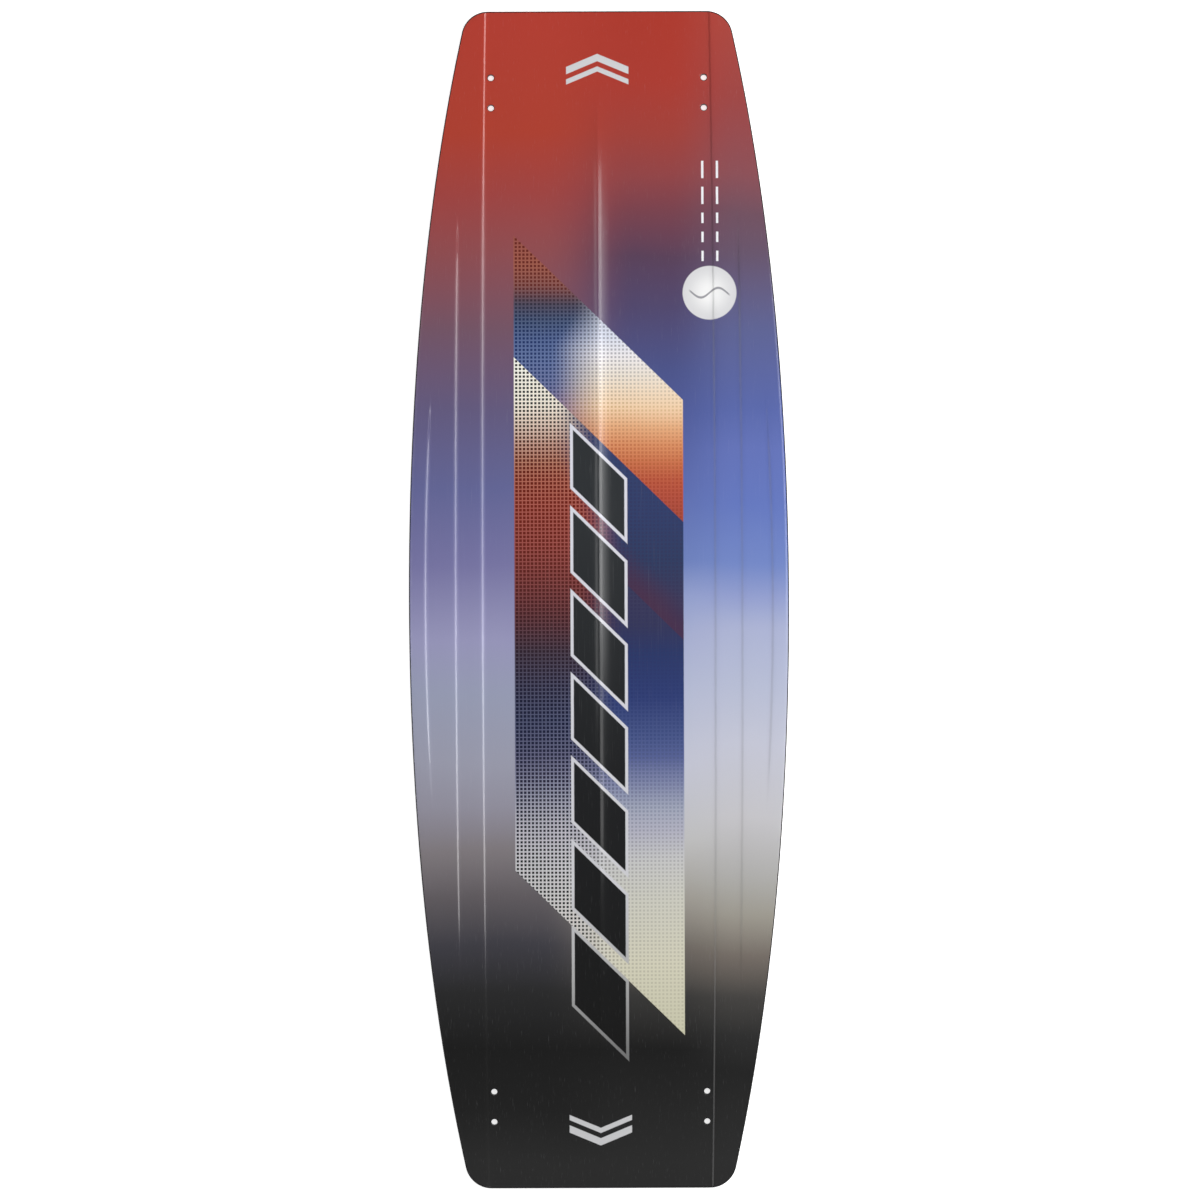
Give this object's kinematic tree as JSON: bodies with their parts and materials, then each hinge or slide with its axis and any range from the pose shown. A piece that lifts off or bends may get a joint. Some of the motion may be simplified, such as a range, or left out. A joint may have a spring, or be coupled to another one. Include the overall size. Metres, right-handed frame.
{
  "type": "kiteboard",
  "caption": "Twin-tip kiteboard with rockered, stepped base, wood strip core between laminates, plastic rails, threaded inserts and fin-screw holes.",
  "frame": {"origin": "on the floor, under the middle of the board, which lies deck down on its two tips", "axes": "+Z out of the base (the water side), +Y along the board towards the nose, +X to the right of someone looking down on the base"},
  "size_m": [0.438, 1.36, 0.047],
  "materials": {
    "base_sheet": "printed gloss",
    "deck_sheet": "satin",
    "glass_laminate": "cured resin over woven glass",
    "wood_core": "raw, machined",
    "rail": "satin, milled",
    "fin_plug": "satin",
    "insert": "turned"
  },
  "bodies": {
    "root": {"base_sheet": "base_sheet", "base_laminate": "glass_laminate", "core_strip_1": "wood_core", "core_strip_2": "wood_core", "core_strip_3": "wood_core", "core_strip_4": "wood_core", "core_strip_5": "wood_core", "core_strip_6": "wood_core", "core_strip_7": "wood_core", "core_strip_8": "wood_core", "core_strip_9": "wood_core", "left_rail": "rail", "right_rail": "rail", "nose_rail": "rail", "tail_rail": "rail", "nose_fin_plug_1": "fin_plug", "nose_fin_plug_2": "fin_plug", "nose_fin_plug_3": "fin_plug", "nose_fin_plug_4": "fin_plug", "tail_fin_plug_1": "fin_plug", "tail_fin_plug_2": "fin_plug", "tail_fin_plug_3": "fin_plug", "tail_fin_plug_4": "fin_plug", "nose_insert_patch": "glass_laminate", "tail_insert_patch": "glass_laminate", "handle_insert_patch": "glass_laminate", "nose_pad_insert_1": "insert", "nose_pad_insert_2": "insert", "nose_pad_insert_3": "insert", "nose_pad_insert_4": "insert", "nose_pad_insert_5": "insert", "nose_pad_insert_6": "insert", "nose_pad_insert_7": "insert", "nose_pad_insert_8": "insert", "tail_pad_insert_1": "insert", "tail_pad_insert_2": "insert", "tail_pad_insert_3": "insert", "tail_pad_insert_4": "insert", "tail_pad_insert_5": "insert", "tail_pad_insert_6": "insert", "tail_pad_insert_7": "insert", "tail_pad_insert_8": "insert", "handle_insert_1": "insert", "handle_insert_2": "insert", "deck_laminate": "glass_laminate", "deck_sheet": "deck_sheet"}
  },
  "joints": []
}
